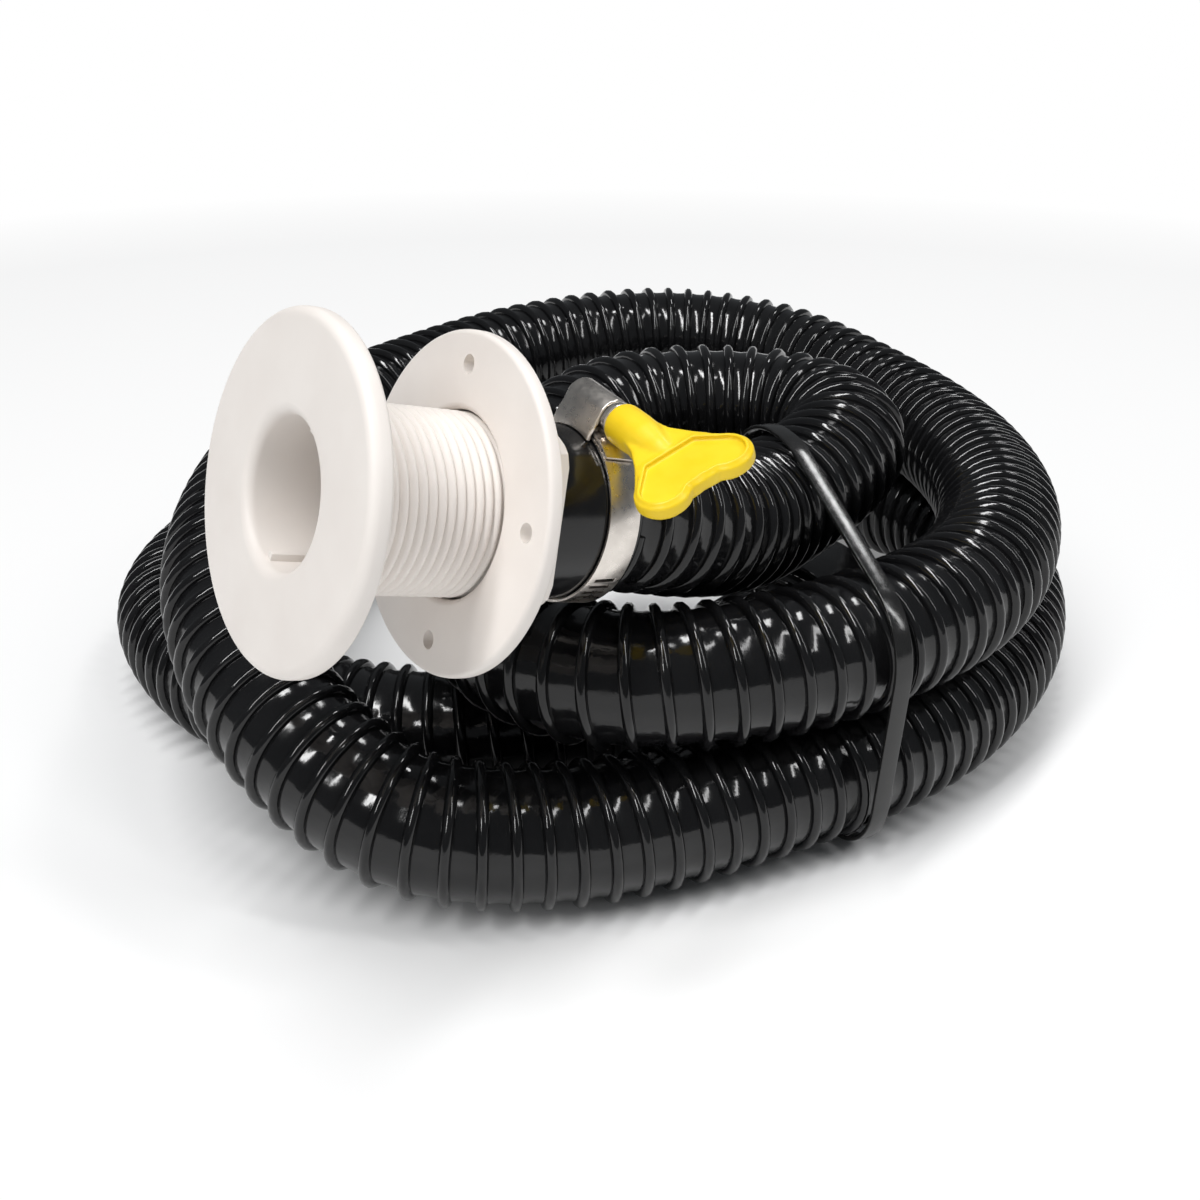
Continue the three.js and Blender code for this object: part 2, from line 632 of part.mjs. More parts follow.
piece('thru_hull_body', thruHullBody(), materials.white, fitting);
piece('lock_nut', lockNut(), materials.white, fitting).position.z = nutFaceZ;
piece('hose_cuff_near', cuff(), materials.cuff, fitting).position.z = cuffStartZ;
piece('clamp_band', clampBand(), materials.steel, clamp);
piece('clamp_housing', clampHousing(), materials.steel, clamp);
piece('worm_screw', wormScrew(), materials.steel, clamp);
piece('thumb_key', thumbKey(), materials.yellow, clamp);
piece('hose_tube', hoseTube(), materials.hose, kit);

const hoseEnd = hoseCurve.getPointAt(1);
const hoseEndWay = hoseCurve.getTangentAt(1);
const farCuff = piece('hose_cuff_far', cuff(), materials.cuff, kit);
farCuff.quaternion.setFromUnitVectors(up, hoseEndWay);
farCuff.position.copy(hoseEnd).addScaledVector(hoseEndWay, CLEARANCE);

const tie = piece('cable_tie', cableTie(), materials.tie, kit);
const tieFrame = new THREE.Matrix4().makeBasis(tieAcross, up, tieAlong.clone().negate());
tie.quaternion.setFromRotationMatrix(tieFrame);
tie.position.copy(tieAlong).multiplyScalar(tieOffset);

export default kit;
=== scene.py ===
import json
import math

import bpy
import numpy as np
from mathutils import Matrix, Vector


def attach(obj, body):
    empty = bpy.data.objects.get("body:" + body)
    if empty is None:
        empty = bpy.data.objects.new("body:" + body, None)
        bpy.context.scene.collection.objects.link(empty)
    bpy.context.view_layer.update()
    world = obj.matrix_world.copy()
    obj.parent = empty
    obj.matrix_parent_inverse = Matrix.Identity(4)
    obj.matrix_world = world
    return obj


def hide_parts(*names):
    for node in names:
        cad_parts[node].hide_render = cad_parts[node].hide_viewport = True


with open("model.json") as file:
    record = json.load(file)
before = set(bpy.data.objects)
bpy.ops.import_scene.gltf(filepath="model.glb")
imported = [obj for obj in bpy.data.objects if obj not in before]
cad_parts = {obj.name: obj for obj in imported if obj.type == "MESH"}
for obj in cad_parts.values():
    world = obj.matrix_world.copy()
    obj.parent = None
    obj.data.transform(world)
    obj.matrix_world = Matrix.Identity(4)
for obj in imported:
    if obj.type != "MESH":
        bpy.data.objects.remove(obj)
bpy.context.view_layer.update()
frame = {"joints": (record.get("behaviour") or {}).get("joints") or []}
bpy.ops.object.select_all(action="DESELECT")

MM = 0.001
TURN = 2 * math.pi

# ---------------------------------------------------------------- where things are (metres)

JOINTS = {joint["name"]: joint for joint in frame["joints"]}
NUT_JOINT = JOINTS["lock_nut_travel"]
WORM_JOINT = JOINTS["worm_turn"]
FITTING_AXIS = Vector(NUT_JOINT["axis"]).normalized()
WORM_AXIS = Vector(WORM_JOINT["axis"]).normalized()
WORM_CENTRE = Vector(WORM_JOINT["pos_m"])
FACE_CENTRE = Vector((-0.065, -0.1557, 0.125))
UP = Vector((0, 0, 1))

# sizes of the fitting, in mm along its axis from the flange's front face
FLANGE_RADIUS = 39
FLANGE_THICKNESS = 5.2
THREAD_RADIUS = 20.95
THREAD_PITCH = 2.309
THREAD_DEPTH = 1.0
CORE_RADIUS = 18.2  # the turned body inside the thread
SHOULDER_Z = 54.8
BORE_RADIUS = 16.5
TAIL_RADIUS = 15.9
TAIL_BORE_RADIUS = 13.1
LUG_LENGTH = 9
LUG_ANGLE = math.radians(16)
TAIL_END_Z = 80.3
NUT_FACE_Z = 41.4
NUT_FLANGE_THICKNESS = 3.4
HEX_HEIGHT = 8.4
HEX_ACROSS_FLATS = 55
HEX_ANGLE = math.radians(-8)
SCREW_HOLES = 4
SCREW_HOLE_CIRCLE = 31.4
SCREW_HOLE_RADIUS = 2.2
SCREW_HOLE_ANGLE = math.radians(-6)
CUFF_RADIUS = 20.4
CUFF_LENGTH = 26.6
CUFF_START_Z = 55.1
CUFF_END_Z = CUFF_START_Z + CUFF_LENGTH

# the clamp, in mm about the worm's middle
BAND_CENTRE_Z = 75.25
BAND_WIDTH = 8.5
BAND_THICKNESS = 0.7
BAND_INNER_RADIUS = 20.7
BAND_OVERLAP = 24
BAND_TAIL = 32
BAND_CLIMB = 26
BAND_CLIMB_GAP = 4
BAND_LIFT = BAND_THICKNESS + 0.3  # how far the end climbs over the start
SLOT_COUNT = 32
SLOT_FIRST = 112
SLOT_STEP = 6.64
SLOT_SLANT = math.radians(8)
WORM_HEIGHT = 26.1
WORM_RADIUS = 3.4
HOUSING_BACK = 9.5
HOUSING_FRONT = 5
HOUSING_WALL = 0.9
HOUSING_ARCH = 4.4
CHANNEL_ARCH = 3.65
CHANNEL_SLACK = 0.3
WORM_PITCH = 2.4
WORM_DEPTH = 0.9
TIP_LENGTH = 2.4
TIP_RADIUS = 2.6
KEY_START = 7.3
KEY_ROLL = math.radians(37)

# the hose
HOSE_DIAMETER = 0.038
RIB_PITCH = 0.0075
RIB_HEIGHT = 1.8 * MM
RIB_HALF_WIDTH = 1.6 * MM
WALL_SAG = 0.4 * MM  # how far the wall draws in midway between turns of the rib
HOSE_BORE_RADIUS = 0.016
CUFF_GAP = 0.3 * MM
HOSE_ROUTE = [
    (24, -90, 92), (43, -60, 82), (75, -8, 85), (70, 13, 86), (53, 26, 86), (22, 27, 86),
    (-1, 14, 84), (-26, -26, 72), (-27, -80, 60), (-13, -101, 59), (10, -112, 59.2),
    (50, -104, 60), (99, -66, 60.5), (124, -10, 59), (128, 52, 58), (111, 111, 60),
    (72, 156, 68), (27, 169, 71), (-23, 155, 69), (-69, 114, 66), (-97, 59, 66),
    (-107, -2, 65), (-101, -63, 57), (-79, -105, 41), (-47, -125, 26), (-9, -123, 20.4),
    (48, -100, 21.2), (97, -63, 21.2), (129, -10, 20.4), (140, 51, 19), (122, 103, 19),
    (76, 140, 19), (16, 154, 19), (-45, 145, 19), (-99, 115, 20), (-134, 65, 20),
    (-138, 12, 20), (-112, -37, 20), (-76, -62, 20), (-36, -69, 20), (3, -57, 20),
    (39, -30, 20.6), (62, 2, 21),
]

# the tie's upright plane across the front turns
TIE_HEADING = math.radians(21.5)
TIE_ALONG = Vector((math.cos(TIE_HEADING), math.sin(TIE_HEADING), 0))
TIE_ACROSS = Vector((TIE_ALONG.y, -TIE_ALONG.x, 0))
TIE_OFFSET = 30.5 * MM
TIE_BUNDLE = Vector((0.073, -0.074, 0.050))
TIE_REACH = 0.050
TIE_GAP = 0.8 * MM
TIE_WIDTH = 4.8 * MM
TIE_THICKNESS = 1.3 * MM
TIE_SIDES = 96


def on_axis(z):
    return FACE_CENTRE + FITTING_AXIS * (z * MM)


def frame_matrix(x, y, z, origin):
    """The placement whose X, Y and Z axes are the given directions."""
    return Matrix.Translation(origin) @ Matrix((x, y, z)).transposed().to_4x4()


FITTING_SIDE = UP.cross(FITTING_AXIS).normalized()
FITTING_UP = FITTING_AXIS.cross(FITTING_SIDE)
FITTING_PLACE = frame_matrix(FITTING_SIDE, FITTING_UP, FITTING_AXIS, FACE_CENTRE)

# the clamp's frame: X along the worm towards the key, Y outwards from the cuff
CLAMP_OUT = (WORM_CENTRE - on_axis(BAND_CENTRE_Z)).normalized()
CLAMP_PLACE = frame_matrix(
    WORM_AXIS, CLAMP_OUT, WORM_AXIS.cross(CLAMP_OUT), on_axis(BAND_CENTRE_Z))


# ---------------------------------------------------------------- camera

def make_camera():
    data = bpy.data.cameras.new("camera")
    data.lens = 48
    data.sensor_width = 36
    camera = bpy.data.objects.new("camera", data)
    camera.location = (0.0017, -0.4674, 0.2426)
    camera.rotation_euler = (math.radians(65.5), 0, 0)
    bpy.context.scene.collection.objects.link(camera)
    bpy.context.scene.camera = camera


make_camera()


# ---------------------------------------------------------------- the hose's line

def smooth_line(points, per_span=24):
    """A centripetal Catmull-Rom line through the points."""
    points = [np.array(p, float) for p in points]
    points = [2 * points[0] - points[1], *points, 2 * points[-1] - points[-2]]
    line = []
    for a, b, c, d in zip(points, points[1:], points[2:], points[3:]):
        t1 = np.linalg.norm(b - a) ** 0.5
        t2 = t1 + np.linalg.norm(c - b) ** 0.5
        t3 = t2 + np.linalg.norm(d - c) ** 0.5
        for t in np.linspace(t1, t2, per_span, endpoint=False):
            ab = a + (b - a) * t / t1
            bc = b + (c - b) * (t - t1) / (t2 - t1)
            cd = c + (d - c) * (t - t2) / (t3 - t2)
            abc = ab + (bc - ab) * t / t2
            bcd = bc + (cd - bc) * (t - t1) / (t3 - t1)
            line.append(abc + (bcd - abc) * (t - t1) / (t2 - t1))
    line.append(points[-2])
    return np.array(line)


def spaced(line, count):
    """The line again, as that many points at equal distances, and its length."""
    steps = np.linalg.norm(np.diff(line, axis=0), axis=1)
    reach = np.concatenate([[0], np.cumsum(steps)])
    wanted = np.linspace(0, reach[-1], count)
    return np.array([np.interp(wanted, reach, line[:, k]) for k in range(3)]).T, reach[-1]


def line_frames(line):
    """For each point of a line, its direction and two directions across it that don't twist."""
    along = np.gradient(line, axis=0)
    along /= np.linalg.norm(along, axis=1)[:, None]
    across = [np.cross(along[0], (0, 0, 1.0))]
    for way in along:
        side = across[-1] - way * (across[-1] @ way)
        across.append(side / np.linalg.norm(side))
    across = np.array(across[1:])
    return along, across, np.cross(along, across)


HOSE_LINE, HOSE_LENGTH = spaced(
    smooth_line([
        tuple(on_axis(CUFF_END_Z) + FITTING_AXIS * CUFF_GAP),
        tuple(on_axis(CUFF_END_Z + HOSE_DIAMETER / MM / 3)),
        *[tuple(c * MM for c in point) for point in HOSE_ROUTE],
    ]), 4000)


# ---------------------------------------------------------------- modelling helpers

def activate(piece):
    bpy.ops.object.select_all(action="DESELECT")
    piece.select_set(True)
    bpy.context.view_layer.objects.active = piece


def edit(piece):
    activate(piece)
    bpy.ops.object.mode_set(mode="EDIT")
    bpy.ops.mesh.select_all(action="SELECT")


def done_editing():
    bpy.ops.object.mode_set(mode="OBJECT")


def modify(piece, kind, **settings):
    """Adds a modifier with those settings and applies it."""
    activate(piece)
    modifier = piece.modifiers.new(kind.lower(), kind)
    for name, value in settings.items():
        setattr(modifier, name, value)
    bpy.ops.object.modifier_apply(modifier=modifier.name)
    return piece


def cut(piece, tool, operation="DIFFERENCE"):
    modify(piece, "BOOLEAN", operation=operation, solver="EXACT", object=tool)
    bpy.data.objects.remove(tool)
    return piece


def join_to(piece, other):
    return cut(piece, other, "UNION")


def clean(piece):
    """Merges doubles and points the faces outwards."""
    edit(piece)
    bpy.ops.mesh.remove_doubles(threshold=2e-6)
    bpy.ops.mesh.normals_make_consistent(inside=False)
    done_editing()
    return piece


def drawn_line(name, points, closed=False):
    """A line of vertices through the points, in mm, drawn by extruding the first one."""
    bpy.ops.mesh.primitive_plane_add(size=MM)
    piece = bpy.context.object
    piece.name = name
    piece.data.name = name
    edit(piece)
    bpy.ops.mesh.merge(type="CENTER")
    bpy.ops.transform.translate(value=Vector(points[0]) * MM)
    for before, after in zip(points, points[1:]):
        step = (Vector(after) - Vector(before)) * MM
        bpy.ops.mesh.extrude_region_move(TRANSFORM_OT_translate={"value": step})
    bpy.ops.mesh.select_all(action="SELECT")
    if closed:
        bpy.ops.mesh.edge_face_add()
    done_editing()
    return piece


def turned(name, profile, steps=96):
    """A profile of [radius, z] points, in mm, spun about the Z axis."""
    piece = drawn_line(name, [(r, 0, z) for r, z in profile])
    edit(piece)
    bpy.ops.mesh.spin(steps=steps, angle=TURN, center=(0, 0, 0), axis=(0, 0, 1))
    done_editing()
    return clean(piece)


def extruded(name, outline, depth, start=0.0):
    """A closed outline of (x, y) points, in mm, raised along Z by depth."""
    piece = drawn_line(name, [(x, y, start) for x, y in outline], closed=True)
    edit(piece)
    bpy.ops.mesh.extrude_region_move(TRANSFORM_OT_translate={"value": (0, 0, depth * MM)})
    done_editing()
    return clean(piece)


def cylinder(name, radius, start, end, sides=48):
    return turned(name, [(0, start), (radius, start), (radius, end), (0, end)], sides)


def arc(r, z, radius, start, end, steps=5):
    """Points of an arc about (r, z), in degrees from the outward direction towards +Z."""
    angles = [math.radians(start + (end - start) * i / steps) for i in range(steps + 1)]
    return [(r + radius * math.cos(a), z + radius * math.sin(a)) for a in angles]


def threaded(name, outer, depth, pitch, start, end, sides=72):
    """A right-handed thread about Z as a closed rod, cut square at both ends."""
    root = outer - depth
    profile = [
        (root, 0, 0), (outer - 0.30 * depth, 0, 0.20 * pitch),
        (outer - 0.07 * depth, 0, 0.36 * pitch), (outer, 0, 0.5 * pitch),
        (outer - 0.07 * depth, 0, 0.64 * pitch), (outer - 0.30 * depth, 0, 0.80 * pitch),
        (root, 0, pitch),
    ]
    turns = math.ceil((end - start) / pitch) + 2
    rod = drawn_line(name, profile)
    modify(
        rod, "SCREW", angle=TURN, screw_offset=pitch * MM, iterations=turns, steps=sides,
        render_steps=sides, use_merge_vertices=True, merge_threshold=1e-6)
    first = 1.37 * pitch
    for height, outward in ((first, -1), (first + end - start, 1)):
        edit(rod)
        bpy.ops.mesh.bisect(
            plane_co=(0, 0, height * MM), plane_no=(0, 0, outward), clear_outer=True, use_fill=True)
        done_editing()
    shift(rod, (0, 0, start - first))
    return clean(rod)


def shift(piece, offset):
    """Moves a whole mesh by an offset in mm."""
    edit(piece)
    bpy.ops.transform.translate(value=Vector(offset) * MM)
    done_editing()
    return piece


def turn(piece, angle, axis="Z"):
    """Turns a whole mesh about an axis through the origin."""
    activate(piece)
    piece.rotation_euler = [angle if name == axis else 0 for name in "XYZ"]
    bpy.ops.object.transform_apply(location=False, rotation=True, scale=False)
    return piece


def settle(piece, place, body, nodes, material, smooth=35):
    """Puts a finished piece in its place on its body, in its finish, in stead of its CAD nodes."""
    activate(piece)
    bpy.ops.object.shade_smooth_by_angle(angle=math.radians(smooth))
    piece.matrix_world = place
    bpy.ops.object.transform_apply(location=True, rotation=True, scale=True)
    piece.data.materials.clear()
    piece.data.materials.append(material)
    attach(piece, body)
    if nodes:
        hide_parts(*nodes)
    return piece


# ---------------------------------------------------------------- materials

class Finish:
    """A material with a principled shader, and short ways to add nodes to it."""

    def __init__(self, name, colour, roughness, **values):
        self.material = bpy.data.materials.new(name)
        self.material.use_nodes = True
        self.nodes = self.material.node_tree.nodes
        self.links = self.material.node_tree.links
        self.shader = self.nodes["Principled BSDF"]
        self.shader.inputs["Base Color"].default_value = (*colour, 1)
        self.shader.inputs["Roughness"].default_value = roughness
        for socket, value in values.items():
            self.shader.inputs[socket.replace("_", " ")].default_value = value
        self.place = self.nodes.new("ShaderNodeTexCoord")

    def node(self, kind, **values):
        made = self.nodes.new("ShaderNode" + kind)
        for name, value in values.items():
            if name in made.inputs:
                made.inputs[name].default_value = value
            else:
                setattr(made, name, value)
        return made

    def noise(self, scale, detail=3):
        """Noise on the piece's own coordinates, per metre."""
        noise = self.node("TexNoise", Scale=scale, Detail=detail)
        self.links.new(self.place.outputs["Object"], noise.inputs["Vector"])
        return noise.outputs["Fac"]

    def range(self, value, low, high, start=0.3, end=0.7):
        """Spreads a value over a range."""
        spread = self.node("MapRange")
        for name, number in (
            ("From Min", start), ("From Max", end), ("To Min", low), ("To Max", high),
        ):
            spread.inputs[name].default_value = number
        self.links.new(value, spread.inputs["Value"])
        return spread.outputs["Result"]

    def math(self, operation, first, second):
        """Two values put together by one operation."""
        sums = self.node("Math", operation=operation)
        self.links.new(first, sums.inputs[0])
        self.links.new(second, sums.inputs[1])
        return sums.outputs["Value"]

    def roughness(self, value):
        self.links.new(value, self.shader.inputs["Roughness"])

    def tint(self, value, dark, light):
        """Varies the colour between two by a value."""
        ramp = self.node("ValToRGB")
        ramp.color_ramp.elements[0].color = (*dark, 1)
        ramp.color_ramp.elements[1].color = (*light, 1)
        ramp.color_ramp.elements[0].position = 0.3
        ramp.color_ramp.elements[1].position = 0.7
        self.links.new(value, ramp.inputs["Fac"])
        self.links.new(ramp.outputs["Color"], self.shader.inputs["Base Color"])

    def bump(self, *layers):
        """Stacks bumps, each a height and its depth in metres."""
        normal = None
        for height, distance in layers:
            bump = self.node("Bump", Strength=1.0, Distance=distance)
            self.links.new(height, bump.inputs["Height"])
            if normal:
                self.links.new(normal, bump.inputs["Normal"])
            normal = bump.outputs["Normal"]
        self.links.new(normal, self.shader.inputs["Normal"])


def hose_finish():
    finish = Finish("gloss_black_hose", (0.006, 0.006, 0.0065), 0.1, IOR=1.46)
    finish.roughness(finish.range(finish.noise(160, 4), 0.07, 0.16))
    finish.tint(finish.noise(70, 3), (0.0045, 0.0045, 0.005), (0.008, 0.008, 0.0085))
    finish.bump((finish.noise(90, 2), 0.25 * MM), (finish.noise(900, 2), 0.02 * MM))
    return finish.material


def cuff_finish():
    finish = Finish("smooth_black_cuff", (0.007, 0.007, 0.0075), 0.13, IOR=1.46)
    finish.roughness(finish.range(finish.noise(120, 4), 0.1, 0.2))
    finish.tint(finish.noise(60, 3), (0.005, 0.005, 0.0055), (0.009, 0.009, 0.0095))
    finish.bump((finish.noise(60, 2), 0.15 * MM), (finish.noise(1200, 2), 0.01 * MM))
    return finish.material


def white_finish():
    finish = Finish("white_plastic", (0.83, 0.78, 0.73), 0.42, IOR=1.46)
    finish.tint(finish.noise(45, 3), (0.80, 0.745, 0.70), (0.85, 0.80, 0.755))
    finish.roughness(finish.range(finish.noise(220, 4), 0.36, 0.5))
    finish.bump((finish.noise(35, 2), 0.12 * MM), (finish.noise(1600, 3), 0.012 * MM))
    return finish.material


def steel_finish():
    finish = Finish("polished_steel", (0.78, 0.73, 0.67), 0.3, Metallic=1.0)
    finish.roughness(finish.range(finish.noise(500, 4), 0.24, 0.38))
    finish.tint(finish.noise(150, 3), (0.70, 0.65, 0.60), (0.83, 0.78, 0.72))
    finish.bump((finish.noise(300, 3), 0.02 * MM), (finish.noise(2500, 2), 0.004 * MM))
    return finish.material


def yellow_finish():
    finish = Finish("yellow_plastic", (0.88, 0.62, 0.01), 0.4, IOR=1.46)
    finish.tint(finish.noise(120, 3), (0.86, 0.59, 0.008), (0.91, 0.66, 0.02))
    finish.roughness(finish.range(finish.noise(300, 4), 0.34, 0.48))
    finish.bump((finish.noise(120, 2), 0.05 * MM), (finish.noise(1800, 3), 0.01 * MM))
    return finish.material


def tie_finish():
    finish = Finish("black_nylon", (0.012, 0.012, 0.012), 0.28, IOR=1.53)
    finish.roughness(finish.range(finish.noise(400, 4), 0.12, 0.22))
    finish.tint(finish.noise(100, 3), (0.010, 0.010, 0.010), (0.014, 0.014, 0.014))
    finish.bump((finish.noise(200, 2), 0.04 * MM), (finish.noise(2200, 3), 0.01 * MM))
    return finish.material


WHITE = white_finish()
HOSE_BLACK = hose_finish()
CUFF_BLACK = cuff_finish()
STEEL = steel_finish()
YELLOW = yellow_finish()
NYLON = tie_finish()


# ---------------------------------------------------------------- hose

HOSE_RADIUS = HOSE_DIAMETER / 2
WALL_SIDES = 44
WALL_STEPS = 5  # rings of the wall in one pitch of the rib
RIB_STEPS = 36  # samples of the rib in one turn


def along_hose(reach):
    """The hose's centre and its two directions across, at distances along it."""
    distance = np.linspace(0, HOSE_LENGTH, len(HOSE_LINE))
    _, across, over = line_frames(HOSE_LINE)
    return [
        np.stack([np.interp(reach, distance, values[:, k]) for k in range(3)], -1)
        for values in (HOSE_LINE, across, over)
    ]


def tube_rings(reach, radius, sag=0.0):
    """Rings of points round the hose's line, which draw in by the sag between the rib's turns."""
    centre, one, two = along_hose(reach)
    angle = np.arange(WALL_SIDES) / WALL_SIDES * TURN
    way = one[:, None] * np.cos(angle)[:, None] + two[:, None] * np.sin(angle)[:, None]
    phase = reach[:, None] / RIB_PITCH - angle / TURN - RIB_HALF_WIDTH / RIB_PITCH
    radii = radius - sag * np.sin(math.pi * phase) ** 2
    return centre[:, None] + way * radii[:, :, None]


def woven(name, rings, closed):
    """A mesh through rings of points, joined end to start or capped at both ends."""
    count, sides = rings.shape[:2]
    faces = []
    for row in range(count if closed else count - 1):
        first, second = row * sides, (row + 1) % count * sides
        for side in range(sides):
            beside = (side + 1) % sides
            faces.append([first + side, first + beside, second + beside, second + side])
    if not closed:
        faces += [list(range(sides)), list(range((count - 1) * sides, count * sides))]
    mesh = bpy.data.meshes.new(name)
    mesh.from_pydata(rings.reshape(-1, 3).tolist(), [], faces)
    piece = bpy.data.objects.new(name, mesh)
    bpy.context.scene.collection.objects.link(piece)
    edit(piece)
    bpy.ops.mesh.normals_make_consistent(inside=False)
    done_editing()
    return piece


def hose_wall():
    """The flexible wall: it draws in a little between the rib's turns, and is open at both ends."""
    outside = np.linspace(0, HOSE_LENGTH, int(HOSE_LENGTH / RIB_PITCH * WALL_STEPS))
    inside = np.linspace(HOSE_LENGTH, 0, int(HOSE_LENGTH / RIB_PITCH))
    return woven("hose_wall", np.concatenate([
        tube_rings(outside, HOSE_RADIUS - RIB_HEIGHT, WALL_SAG),
        tube_rings(inside, HOSE_BORE_RADIUS),
    ]), closed=True)


def hose_rib():
    """The stiff half-round rib that winds round the wall."""
    step = np.arange(int(HOSE_LENGTH / RIB_PITCH * RIB_STEPS) - RIB_STEPS // 2)
    reach = RIB_HALF_WIDTH + step * RIB_PITCH / RIB_STEPS
    angle = step * TURN / RIB_STEPS
    centre, one, two = along_hose(reach)
    out = one * np.cos(angle)[:, None] + two * np.sin(angle)[:, None]
    way = np.cross(one, two)
    floor_radius = HOSE_RADIUS - RIB_HEIGHT - 0.25 * MM
    section = [(-1, floor_radius), (1, floor_radius)] + [
        (math.cos(a), HOSE_RADIUS - RIB_HEIGHT + RIB_HEIGHT * math.sin(a))
        for a in np.linspace(0, math.pi, 6)
    ]
    rings = np.stack([
        centre + way * (side * RIB_HALF_WIDTH) + out * radius for side, radius in section
    ], 1)
    return woven("hose_rib", rings, closed=False)


hose = settle(
    hose_wall(), Matrix.Identity(4), "hose_and_fitting", ["hose_tube"],
    HOSE_BLACK, 50)
rib = settle(
    hose_rib(), Matrix.Identity(4), "hose_and_fitting", ["hose_tube"],
    HOSE_BLACK, 50)


# ---------------------------------------------------------------- wall fitting

def wall_fitting():
    back = 1.1
    body = turned("wall_fitting", [
        (0, 0),
        *arc(FLANGE_RADIUS - 2.4, 2.4, 2.4, -90, 0, 8),
        *arc(FLANGE_RADIUS - back, FLANGE_THICKNESS - back, back, 0, 90, 4),
        (THREAD_RADIUS + 0.2, FLANGE_THICKNESS), (THREAD_RADIUS, FLANGE_THICKNESS + 0.4),
        (CORE_RADIUS, FLANGE_THICKNESS + 0.7), (CORE_RADIUS, SHOULDER_Z - 3.4),
        *arc(THREAD_RADIUS - 0.5, SHOULDER_Z - 2.8, 0.5, -90, 0, 3),
        *arc(THREAD_RADIUS - 0.7, SHOULDER_Z - 0.7, 0.7, 0, 90, 3),
        (TAIL_RADIUS, SHOULDER_Z),
        *[(TAIL_RADIUS + lift, SHOULDER_Z + 4.25 * i + along)
          for i in range(1, 6) for lift, along in ((0, -0.3), (0.8, 0), (0, 3))],
        (TAIL_RADIUS - 0.8, TAIL_END_Z),
        (0, TAIL_END_Z),
    ], 128)
    thread = threaded(
        "thread", THREAD_RADIUS, THREAD_DEPTH, THREAD_PITCH, FLANGE_THICKNESS + 0.2,
        SHOULDER_Z - 3)
    join_to(body, thread)
    bore = turned("bore", [
        (0, -1), (BORE_RADIUS + 2.6, -1), (BORE_RADIUS + 2.6, 0),
        *arc(BORE_RADIUS + 2.6, 2.6, 2.6, 270, 180, 7),
        (BORE_RADIUS, 48.6), (TAIL_BORE_RADIUS, 52), (TAIL_BORE_RADIUS, TAIL_END_Z + 1),
        (0, TAIL_END_Z + 1),
    ], 96)
    cut(body, bore)
    # two lugs in the mouth take a spanner while the nut is tightened
    for half_turn in (0, math.pi):
        lug = extruded("lug", [
            (-0.7, -1.7), (0.7, -1.7), (1.1, 1.2), (-1.1, 1.2)], LUG_LENGTH, 2.6)
        modify(lug, "BEVEL", width=0.3 * MM, segments=2, limit_method="ANGLE")
        shift(lug, (0, BORE_RADIUS, 0))
        turn(lug, LUG_ANGLE + half_turn)
        join_to(body, lug)
    return body


settle(
    wall_fitting(), FITTING_PLACE, "hose_and_fitting", ["thru_hull_body"], WHITE)


# ---------------------------------------------------------------- lock nut

def lock_nut():
    height = NUT_FLANGE_THICKNESS + HEX_HEIGHT
    nut = turned("lock_nut_moulding", [
        (0, 0), *arc(37.8, 1.2, 1.2, -90, 0, 5),
        *arc(38.5, NUT_FLANGE_THICKNESS - 0.5, 0.5, 0, 90, 3), (0, NUT_FLANGE_THICKNESS),
    ], 128)
    corner = HEX_ACROSS_FLATS / 2 / math.cos(math.pi / 6)
    outline = [
        (corner * math.sin(i * TURN / 6 - HEX_ANGLE), corner * math.cos(i * TURN / 6 - HEX_ANGLE))
        for i in range(6)
    ]
    hexagon = extruded("hexagon", outline, height - 1, 1)
    chamfer = turned("chamfer", [
        (0, -1), (corner + 2, -1), (corner + 2, height - 2), (corner - 1.6, height + 0.01),
        (0, height + 0.01),
    ], 96)
    cut(hexagon, chamfer, "INTERSECT")
    modify(hexagon, "BEVEL", width=0.5 * MM, segments=3, limit_method="ANGLE")
    join_to(nut, hexagon)
    bore = THREAD_RADIUS + 0.4
    cut(nut, turned("mouth", [
        (0, -1), (bore + 1.6, -1), *arc(bore + 1.6, 1.6, 1.6, 270, 180, 5),
        (bore, height + 1), (0, height + 1),
    ], 96))
    for i in range(SCREW_HOLES):
        angle = -(SCREW_HOLE_ANGLE + i * TURN / SCREW_HOLES)
        hole = cylinder("hole", SCREW_HOLE_RADIUS, -1, height + 1, 32)
        shift(hole, (SCREW_HOLE_CIRCLE * math.sin(angle), SCREW_HOLE_CIRCLE * math.cos(angle), 0))
        cut(nut, hole)
    return nut


NUT_PLACE = FITTING_PLACE @ Matrix.Translation((0, 0, NUT_FACE_Z * MM))
settle(lock_nut(), NUT_PLACE, "lock_nut", ["lock_nut"], WHITE)


# ---------------------------------------------------------------- cuffs

def cuff(name):
    inner = TAIL_RADIUS + 1.1
    return turned(name, [
        (inner, 0), *arc(CUFF_RADIUS - 0.9, 0.9, 0.9, -90, 0, 5),
        *arc(CUFF_RADIUS - 1.2, CUFF_LENGTH - 1.2, 1.2, 0, 90, 5),
        (inner, CUFF_LENGTH), (inner, 0),
    ], 96)


NEAR_CUFF_PLACE = FITTING_PLACE @ Matrix.Translation((0, 0, CUFF_START_Z * MM))
END_WAY = Vector(HOSE_LINE[-1] - HOSE_LINE[-2]).normalized()
END_SIDE = UP.cross(END_WAY).normalized()
END_PLACE = frame_matrix(
    END_SIDE, END_WAY.cross(END_SIDE), END_WAY, Vector(HOSE_LINE[-1]) + END_WAY * CUFF_GAP)
near_cuff = settle(
    cuff("near_cuff"), NEAR_CUFF_PLACE, "hose_and_fitting", ["hose_cuff_near"],
    CUFF_BLACK)
far_cuff = settle(
    cuff("far_cuff"), END_PLACE, "hose_and_fitting", ["hose_cuff_far"], CUFF_BLACK)


